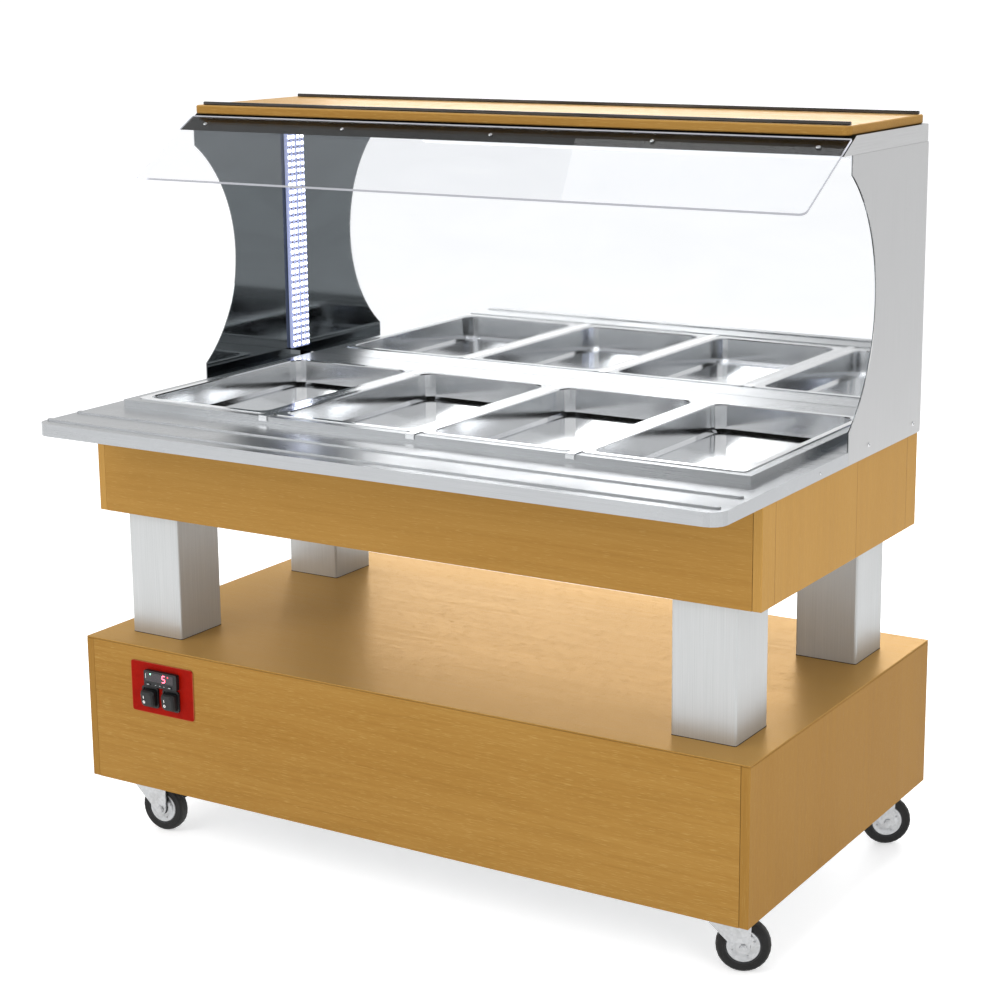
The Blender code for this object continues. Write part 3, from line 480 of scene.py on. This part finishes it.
def tyre(name, centre, turn):
    """Black moulded rubber with rings on its sidewalls, dusty on the tread."""
    look = Look(name, Specular_IOR_Level=0.30)
    shift = look.node("ShaderNodeMapping", vector_type="TEXTURE")
    shift.inputs["Location"].default_value = centre
    shift.inputs["Rotation"].default_value = (0.0, 0.0, turn)
    look.feed(look.place, shift.inputs["Vector"])
    own = shift.outputs["Vector"]
    x, z = look.axis("X", own), look.axis("Z", own)
    radius = look.math("SQRT", look.math("ADD", look.math("MULTIPLY", x, x), look.math("MULTIPLY", z, z)))
    rings = look.math("SINE", look.math("MULTIPLY", radius, CIRCLE / TYRE_RING_PITCH))
    dust = look.noise((70.0, 70.0, 70.0), detail=5.0, roughness=0.7)
    tread = look.span(radius, TREAD_START, TREAD_END)
    dirt = look.math("MULTIPLY", look.span(dust, 0.40, 0.75, 0.15, 0.9), tread)
    hub = look.span(radius, HUB_START, HUB_END)
    rubber = look.blend(look.math("MULTIPLY", dirt, 0.45), (0.008, 0.008, 0.008), (0.10, 0.097, 0.090))
    look.drive("Base Color", look.blend(hub, rubber, (0.035, 0.036, 0.038)))
    look.drive("Roughness", look.span(dust, 0.3, 0.7, 0.50, 0.72))
    wall = look.math("MULTIPLY", look.math("SUBTRACT", 1.0, tread), look.span(radius, WALL_START, WALL_END))
    look.bump(look.math("MULTIPLY", rings, wall), 0.35, 0.0005)
    return look


def dark_rail():
    """Dark metal rail, worn paler in streaks along its length."""
    look = Look("dark rail", metallic=0.7)
    wear = look.noise((6.0, 400.0, 400.0), detail=3.0)
    look.drive("Base Color", look.ramp(wear, (0.35, (0.030, 0.028, 0.027)), (0.75, (0.10, 0.095, 0.09))))
    look.drive("Roughness", look.span(wear, 0.3, 0.7, 0.22, 0.36))
    return look


def brass():
    """Brass with patches of tarnish."""
    look = Look("brass", metallic=1.0)
    tarnish = look.noise((90.0, 90.0, 90.0), detail=5.0)
    look.drive("Base Color", look.ramp(tarnish, (0.3, (0.42, 0.28, 0.10)), (0.7, (0.72, 0.53, 0.24))))
    look.drive("Roughness", look.span(tarnish, 0.3, 0.7, 0.25, 0.45))
    return look


def display_glass():
    """Smoked window in front of the display."""
    look = Look("display window", roughness=0.10)
    smoke = look.noise((500.0, 500.0, 500.0), detail=2.0)
    look.drive("Base Color", look.ramp(smoke, (0.3, (0.012, 0.010, 0.012)), (0.7, (0.030, 0.022, 0.028))))
    return look


def pale_floor():
    """Near-white ground that is lit a little by itself."""
    look = Look("pale floor")
    soft = look.noise((0.8, 0.8, 0.8), detail=3.0)
    look.drive("Base Color", look.ramp(soft, (0.3, (0.93, 0.93, 0.93)), (0.7, (0.96, 0.96, 0.96))))
    look.drive("Roughness", look.span(soft, 0.3, 0.7, 0.60, 0.66))
    look.constant("Emission Color", (1.0, 1.0, 1.0, 1.0))
    look.constant("Emission Strength", FLOOR_LIFT)
    return look


# ---------------------------------------------------------------- CAD pieces

def paint_node(name, look):
    """Puts one look in every material slot of a CAD node."""
    mesh = nodes[name].data
    if not mesh.materials:
        mesh.materials.append(look.material)
    for index in range(len(mesh.materials)):
        mesh.materials[index] = look.material


def paint_wood():
    """Oak on the base, the shelf and the apron."""
    # upper=0.55 paints light on the faces of the base top and the shelf that look up.
    flat = oak("oak, grain along X", "X", upper=0.55)
    front = oak("oak front, grain along X", "X")
    apron_front = oak("oak apron front", "X", tone=0.09)
    upright = oak("oak side, grain upright", "Z", tone=-0.35)
    low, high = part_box("apron_right")
    middle = (low.y + high.y) / 2 + APRON_MIDDLE_SEAM
    seams = (("Y", low.y + APRON_STILE), ("Y", middle), ("Y", high.y - APRON_STILE))
    apron_side = oak("oak apron side", "Z", joints_at=seams, tone=0.24)
    for name in ("base_top", "shelf"):
        paint_node(name, flat)
    paint_node("base_front", front)
    for end in ENDS:
        paint_node(f"apron_{end}", apron_front)
    for side in SIDES:
        paint_node(f"base_side_{side}", upright)
        paint_node(f"apron_{side}", apron_side)


def paint_steel():
    """Steel on the deck, the posts, the upper frame, the well, the base's rear and the casters."""
    paint_node("countertop", brushed("brushed deck", "X", SHEET_TONE, roughness=0.30))
    post = brushed("brushed post", "Z", POST_TONE, roughness=0.38, metal=0.6)
    for end in ENDS:
        for side in SIDES:
            paint_node(f"post_{end}_{side}", post)
    _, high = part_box("support_right")
    # The inner tone is painted dark reflection.
    support = two_faced("support steel", "Z", high.x - SUPPORT_SKIN, SUPPORT_INNER_PAINTED_REFLECTION, SUPPORT_OUTER)
    for side in SIDES:
        paint_node(f"support_{side}", support)
    _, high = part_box("canopy")
    paint_node("canopy", dark_cap(high.x - CAP_SKIN))
    low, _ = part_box("back_panel")
    paint_node("back_panel", mirror_panel(low.y + MIRROR_SKIN))
    paint_node("well_tub", polished("polished tub", TUB_TONE, roughness=0.12))
    pan = polished("polished pan", PAN_TONE, roughness=0.10)
    for number in range(1, PANS + 1):
        paint_node(f"pan_{number}", pan)
    bar = brushed("brushed bar", "Y", BRIGHT_TONE, roughness=0.22)
    for number in range(1, PANS):
        paint_node(f"divider_{number}", bar)
    paint_node("base_rear", brushed("brushed grille", "X", SHEET_TONE, roughness=0.36))
    coated = zinc("zinc plated steel")
    paint_node("base_floor", coated)
    for caster in CASTERS:
        paint_node(f"{caster}_plate", coated)
        paint_node(f"{caster}_fork", coated)


def paint_small_parts():
    """Controls, pane, rails, light strips and what is inside the base."""
    black = plastic("black moulding", (0.007, 0.0075, 0.008), Specular_IOR_Level=0.30)
    for name in ("thermostat", "caster_front_left_pedal", "caster_rear_left_pedal"):
        paint_node(name, black)
    boot = plastic(
        "rubber boot", (0.006, 0.0065, 0.0065),
        roughness=0.45, grain=900.0, depth=0.25, Specular_IOR_Level=0.30,
    )
    lens = glow("light strip lens", (0.46, 0.52, 0.82), strength=0.55)
    for side in SIDES:
        paint_node(f"switch_frame_{side}", black)
        paint_node(f"thermostat_key_{side}", black)
        paint_node(f"rocker_{side}", boot)
        paint_node(f"led_strip_{side}", lens)
    paint_node("control_plate", red_plate())
    paint_node("pane", clear_pane())
    rail = dark_rail()
    for end in ENDS:
        paint_node(f"shelf_rail_{end}", rail)
    enamel = plastic("black enamel", (0.015, 0.015, 0.016), roughness=0.28, grain=500.0, depth=0.10)
    for name in ("compressor", "condenser"):
        paint_node(name, enamel)
    paint_node("fan_rotor", plastic("grey fan", (0.22, 0.23, 0.24)))
    paint_node("drain_valve", brass())
    lever = plastic("red lever", (0.50, 0.018, 0.012), roughness=0.32, grain=700.0, depth=0.10)
    paint_node("drain_handle", lever)


def wheel_place(caster):
    """Centre of a wheel, and the turn about Z of its swivel."""
    joint = joints[f"{caster}_wheel_roll"]
    axis = joint["axis"]
    return Vector(joint["pos_m"]), math.atan2(-axis[0], axis[1])


def paint_tyres():
    """A material for each wheel, because its rings run round its own axle."""
    for caster in CASTERS:
        centre, turn = wheel_place(caster)
        paint_node(f"{caster}_wheel", tyre(f"tyre {caster}", centre, turn))


# ---------------------------------------------------------------- added pieces

def finish_piece(name, bm, look, body=ROOT, smooth=False):
    """Makes one named piece of the mesh and sets it on its body."""
    bmesh.ops.recalc_face_normals(bm, faces=bm.faces)
    mesh = bpy.data.meshes.new(name)
    bm.to_mesh(mesh)
    bm.free()
    if smooth:
        mesh.shade_smooth()
        mesh.set_sharp_from_angle(angle=SHARP_ANGLE)
    mesh.materials.append(look.material)
    piece = bpy.data.objects.new(name, mesh)
    bpy.context.scene.collection.objects.link(piece)
    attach(piece, body)


def join_rows(bm, rows):
    """Faces from each closed row of vertices to the next."""
    for first, second in zip(rows, rows[1:]):
        for i in range(len(first)):
            j = (i + 1) % len(first)
            bm.faces.new((first[i], first[j], second[j], second[i]))


def add_loft(bm, rings):
    """A closed body through rings of equally many points."""
    rows = [[bm.verts.new(point) for point in points] for points in rings]
    join_rows(bm, rows)
    bm.faces.new(rows[0])
    bm.faces.new(rows[-1])


def add_turned(bm, place, profile, count):
    """A closed profile of (radius, y) turned about Y, then set in place."""
    rows = []
    for radius, y in profile:
        turns = [CIRCLE * i / count for i in range(count)]
        points = [Vector((radius * math.cos(turn), y, radius * math.sin(turn))) for turn in turns]
        rows.append([bm.verts.new(place @ point) for point in points])
    join_rows(bm, rows + rows[:1])


def facing(normal):
    """Matrix that turns +Z to the normal."""
    return Vector(normal).to_track_quat("Z", "Y").to_matrix().to_4x4()


def ring(radius, height, count, sides=0):
    """A circle of points, or the outline of a regular polygon where sides is set."""
    points = []
    for i in range(count):
        turn = CIRCLE * i / count
        reach = radius
        if sides:
            wedge = CIRCLE / sides
            reach = radius * math.cos(wedge / 2) / math.cos(turn % wedge - wedge / 2)
        points.append(Vector((reach * math.cos(turn), reach * math.sin(turn), height)))
    return points


def add_screw(bm, at, normal, radius):
    """Low domed head with a hexagonal socket, sunk a little into the face it holds."""
    place = Matrix.Translation(at) @ facing(normal)
    rings = [ring(radius * r, radius * h, HEAD_SEGMENTS) for r, h in HEAD_PROFILE]
    rings += [ring(radius * r, radius * h, HEAD_SEGMENTS, 6) for r, h in SOCKET_PROFILE]
    add_loft(bm, [[place @ point for point in points] for points in rings])


def screws(name, spots, normal, radius, look):
    """One piece made of several screw heads that face the same way."""
    bm = bmesh.new()
    for at in spots:
        add_screw(bm, Vector(at), normal, radius)
    finish_piece(name, bm, look, smooth=True)


def add_pad(bm, centre, size, normal_axis, thick, radius=None):
    """A thin pad with rounded corners and an eased edge, in the plane across normal_axis (0, 1 or 2)."""
    a_axis, b_axis = [i for i in range(3) if i != normal_axis]
    radius = radius if radius is not None else min(size) * PAD_CORNER
    half_a, half_b = size[0] / 2 - radius, size[1] / 2 - radius
    sign = -1 if thick < 0 else 1
    ease = min(abs(thick) * 0.5, min(size) * PAD_EASE)
    rings = []
    for shrink, lift in ((0.0, 0.0), (0.0, thick - sign * ease), (ease, thick)):
        corner = max(radius - shrink, SMALLEST_CORNER)
        points = []
        for quarter, (a, b) in enumerate(((1, 1), (-1, 1), (-1, -1), (1, -1))):
            for i in range(PAD_CORNER_POINTS):
                turn = CIRCLE / 4 * (quarter + i / (PAD_CORNER_POINTS - 1))
                point = Vector(centre)
                point[a_axis] += a * half_a + corner * math.cos(turn)
                point[b_axis] += b * half_b + corner * math.sin(turn)
                point[normal_axis] += lift
                points.append(point)
        rings.append(points)
    add_loft(bm, rings)


def pads(name, spots, normal_axis, thick, look, body=ROOT):
    """One piece made of several pads, each (centre, size)."""
    bm = bmesh.new()
    for centre, size in spots:
        add_pad(bm, centre, size, normal_axis, thick)
    finish_piece(name, bm, look, body)


def screw_details():
    """Screws along the pane's upper edge, in the supports' sides and in the ends of the deck."""
    steel = brushed("screw steel", "Z", BRIGHT_TONE, roughness=0.22)
    _, pane_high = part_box("pane")
    down = Vector((0.0, -math.cos(PANE_SLOPE), -math.sin(PANE_SLOPE))) * PANE_SCREW_DOWN
    spots = [Vector((x, pane_high.y, pane_high.z)) + down for x in PANE_SCREW_XS]
    screws("pane_screws", spots, (0.0, -math.sin(PANE_SLOPE), math.cos(PANE_SLOPE)), SCREW_RADIUS, steel)
    deck_low, deck_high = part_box("countertop")
    for side, sign in zip(SIDES, (-1, 1)):
        low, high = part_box(f"support_{side}")
        face = high.x if sign > 0 else low.x
        z = low.z + SUPPORT_SCREW_UP
        spots = [(face, low.y + SUPPORT_SCREW_FRONT, z), (face, high.y - SUPPORT_SCREW_REAR, z)]
        screws(f"support_screws_{side}", spots, (sign, 0, 0), SCREW_RADIUS, steel)
        edge = deck_high.x if sign > 0 else deck_low.x
        spots = [(edge, FASCIA_SCREW_Y, deck_low.z + FASCIA_SCREW_UP)]
        screws(f"fascia_screw_{side}", spots, (sign, 0, 0), FASCIA_SCREW_RADIUS, steel)


def post_foot_shadows():
    """Thin black strip round the foot of each post: painted shadow where the post meets the base."""
    # Painted shadow: the black stands for the dark gap where the post meets the base.
    rubber = plastic("post foot shadow", (0.012, 0.012, 0.012), roughness=0.6)
    for end in ENDS:
        for side in SIDES:
            low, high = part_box(f"post_{end}_{side}")
            middle = ((low.x + high.x) / 2, (low.y + high.y) / 2, low.z - FOOT_SHADOW_SUNK)
            size = (high.x - low.x + FOOT_SHADOW_SPREAD, high.y - low.y + FOOT_SHADOW_SPREAD)
            bm = bmesh.new()
            add_pad(bm, middle, size, 2, FOOT_SHADOW_THICK, FOOT_SHADOW_CORNER)
            finish_piece(f"post_foot_shadow_{end}_{side}", bm, rubber)


def light_strips():
    """Two columns of light chips on each strip's inner face, with a small resistor beside each."""
    chip = glow("light chip", (0.92, 0.95, 1.0), strength=7.0)
    resistor = plastic("resistor", (0.16, 0.07, 0.05), roughness=0.5)
    for side, sign in zip(SIDES, (1, -1)):
        low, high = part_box(f"led_strip_{side}")
        face = high.x if sign > 0 else low.x
        count = int((high.z - low.z - CHIP_END) / CHIP_PITCH)
        chips, resistors = [], []
        for row in range(count):
            z = low.z + CHIP_START + CHIP_PITCH * row
            for share in CHIP_COLUMNS:
                y = low.y + share * (high.y - low.y)
                chips.append(((face, y, z), CHIP_SIZE))
                resistors.append(((face, y + RESISTOR_ASIDE, z + CHIP_PITCH / 2), RESISTOR_SIZE))
        pads(f"light_chips_{side}", chips, 0, sign * CHIP_THICK, chip)
        pads(f"resistors_{side}", resistors, 0, sign * RESISTOR_THICK, resistor)


def digit_five(middle_x, y, middle_z, look):
    """Seven-segment 5, leaning slightly, as bars with pointed ends."""
    width, height = DIGIT_SIZE
    bar = height * BAR_WIDTH
    half_w, half_h = width / 2 - bar / 2, height / 2 - bar / 2
    level = [((0.0, z), (2 * half_w, 0.0)) for z in (half_h, 0.0, -half_h)]
    upright = [((x, z), (0.0, half_h)) for x, z in ((-half_w, half_h / 2), (half_w, -half_h / 2))]
    bm = bmesh.new()
    for (x, z), (long_x, long_z) in level + upright:
        reach = max(long_x, long_z) / 2 - bar * BAR_GAP
        shoulder = reach - bar / 2
        outline = [
            (reach, 0), (shoulder, bar / 2), (-shoulder, bar / 2),
            (-reach, 0), (-shoulder, -bar / 2), (shoulder, -bar / 2),
        ]
        if long_z:
            outline = [(-b, a) for a, b in outline]
        leant = [(x + a + DIGIT_LEAN * (z + b), z + b) for a, b in outline]
        add_loft(bm, [
            [Vector((middle_x + a, depth, middle_z + b)) for a, b in leant] for depth in (y, y - PRINT_THICK)
        ])
    finish_piece("display_digit", bm, look)


def thermostat_face():
    """The display's window, digit and lamps, and the marks printed on the bezel and the keys."""
    low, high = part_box("thermostat")
    middle_x = (low.x + high.x) / 2
    display_z = high.z - DISPLAY_MIDDLE
    glass_y = low.y - WINDOW_THICK
    bm = bmesh.new()
    centre = (middle_x - WINDOW_ASIDE, low.y, display_z)
    add_pad(bm, centre, WINDOW_SIZE, 1, -WINDOW_THICK, WINDOW_CORNER)
    finish_piece("display_window", bm, display_glass())
    lit = glow("red digit", (1.0, 0.10, 0.16), strength=5.0)
    digit_five(middle_x + DIGIT_ASIDE, glass_y, display_z, lit)
    red = glow("red indicator", (1.0, 0.03, 0.05), strength=4.0)
    green = glow("green indicator", (0.25, 1.0, 0.45), strength=4.0)
    for name, (aside, below), size, look in (
        ("display_dot", DOT_PLACE, DOT_SIZE, red), ("display_lamp", LAMP_PLACE, LAMP_SIZE, green),
    ):
        centre = (middle_x + aside, glass_y, high.z - below)
        pads(name, [(centre, (size, size))], 1, -PRINT_THICK, look)
    print_grey = plastic("printed grey", (0.42, 0.44, 0.45), roughness=0.5)
    aside, below = LONG_MARK_PLACE
    marks = [((low.x + aside, glass_y, high.z - below), LONG_MARK_SIZE)]
    marks += [((low.x + x, low.y, low.z + SMALL_MARK_UP), SMALL_MARK_SIZE) for x in SMALL_MARK_XS]
    pads("display_marks", marks, 1, -PROUD, print_grey)
    for side in SIDES:
        low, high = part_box(f"thermostat_key_{side}")
        centre = ((low.x + high.x) / 2, low.y, (low.z + high.z) / 2)
        pads(f"key_mark_{side}", [(centre, KEY_MARK_SIZE)], 1, -PROUD, print_grey, f"thermostat_key_{side}")


def switch_marks():
    """I and O on each boot, laid on its tilted face."""
    white = plastic("printed white", (0.80, 0.80, 0.78), roughness=0.5)
    stroke_place = (ROCKER_MARK_X, ROCKER_FACE, STROKE_MARK_Z)
    ring_place = Matrix.Translation((ROCKER_MARK_X, ROCKER_FACE, RING_MARK_Z))
    profile = (
        (RING_MARK_OUTER, 0.0), (RING_MARK_OUTER, -PRINT_THICK),
        (RING_MARK_INNER, -PRINT_THICK), (RING_MARK_INNER, 0.0),
    )
    for side in SIDES:
        pivot = Vector(joints[f"switch_{side}_rock"]["pos_m"])
        tilt = Matrix.Translation(pivot) @ Matrix.Rotation(ROCKER_TILT, 4, "X")
        bm = bmesh.new()
        add_pad(bm, stroke_place, STROKE_MARK_SIZE, 1, -PRINT_THICK, STROKE_MARK_CORNER)
        add_turned(bm, ring_place, profile, RING_MARK_SEGMENTS)
        bmesh.ops.transform(bm, matrix=tilt, verts=bm.verts)
        finish_piece(f"switch_marks_{side}", bm, white, f"rocker_{side}")


def hub_discs():
    """Pressed grey discs on both sides of each wheel, with a raised rib and four rivets."""
    grey = zinc("grey hub")
    for caster in CASTERS:
        centre, turn = wheel_place(caster)
        put = Matrix.Translation(centre) @ Matrix.Rotation(turn, 4, "Z")
        bm = bmesh.new()
        for sign in (-1, 1):
            add_turned(bm, put, [(radius, sign * along) for radius, along in HUB_PROFILE], HUB_SEGMENTS)
            outward = put.to_3x3() @ Vector((0, sign, 0))
            for quarter in range(4):
                angle = CIRCLE / 4 * quarter + RIVET_TURN
                x, z = RIVET_CIRCLE * math.cos(angle), RIVET_CIRCLE * math.sin(angle)
                add_screw(bm, put @ Vector((x, sign * RIVET_FACE, z)), outward, RIVET_RADIUS)
        finish_piece(f"{caster}_hub", bm, grey, f"{caster}_wheel", smooth=True)


def caster_bolts():
    """A bolt head under each corner of each caster's plate."""
    steel = zinc("bolt zinc")
    for caster in CASTERS:
        low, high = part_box(f"{caster}_plate")
        xs = (low.x + BOLT_INSET, high.x - BOLT_INSET)
        ys = (low.y + BOLT_INSET, high.y - BOLT_INSET)
        screws(f"{caster}_bolts", [(x, y, low.z) for x in xs for y in ys], (0, 0, -1), SCREW_RADIUS, steel)


# ---------------------------------------------------------------- stage

def floor():
    """The ground under the trolley."""
    bpy.ops.mesh.primitive_plane_add(size=FLOOR_SIZE)
    plane = bpy.context.object
    plane.name = "floor"
    plane.data.materials.append(pale_floor().material)


def area_light(name, at, target, size, power, glossy):
    """A rectangular light that points to the target; glossy says whether reflections show it."""
    data = bpy.data.lights.new(name, "AREA")
    data.shape = "RECTANGLE"
    data.size, data.size_y = size
    data.energy = power
    lamp = bpy.data.objects.new(name, data)
    bpy.context.scene.collection.objects.link(lamp)
    lamp.location = at
    lamp.visible_glossy = glossy
    lamp.rotation_euler = (Vector(target) - Vector(at)).to_track_quat("-Z", "Y").to_euler()


def studio():
    """Four soft lights, and a sky that is white low down and grey overhead."""
    for name, settings in LIGHTS.items():
        area_light(name, *settings)
    world = bpy.data.worlds.new("studio")
    bpy.context.scene.world = world
    world.use_nodes = True
    tree = world.node_tree
    background = tree.nodes["Background"]
    background.inputs["Strength"].default_value = 1.0
    bpy.context.scene.view_settings.view_transform = "Standard"
    place = tree.nodes.new("ShaderNodeTexCoord")
    split = tree.nodes.new("ShaderNodeSeparateXYZ")
    ramp = tree.nodes.new("ShaderNodeValToRGB")
    tree.links.new(place.outputs["Generated"], split.inputs["Vector"])
    tree.links.new(split.outputs["Z"], ramp.inputs["Fac"])
    tree.links.new(ramp.outputs["Color"], background.inputs["Color"])
    for element, (position, colour) in zip(ramp.color_ramp.elements, SKY):
        element.position = position
        element.color = colour


def camera():
    """The photograph's view: its verticals hardly converge, so the lens is shifted a little."""
    data = bpy.data.cameras.new("camera")
    data.sensor_width = EYE_SENSOR
    data.lens = EYE_LENS
    data.shift_x, data.shift_y = EYE_SHIFT
    eye = bpy.data.objects.new("camera", data)
    bpy.context.scene.collection.objects.link(eye)
    eye.location = EYE_PLACE
    level = Euler((math.radians(90 - EYE_DOWN), 0.0, math.radians(EYE_YAW))).to_matrix()
    eye.rotation_euler = (level @ Matrix.Rotation(math.radians(EYE_ROLL), 3, "Z")).to_euler()
    bpy.context.scene.camera = eye


paint_wood()
paint_steel()
paint_small_parts()
paint_tyres()
screw_details()
post_foot_shadows()
light_strips()
thermostat_face()
switch_marks()
hub_discs()
caster_bolts()
floor()
studio()
camera()
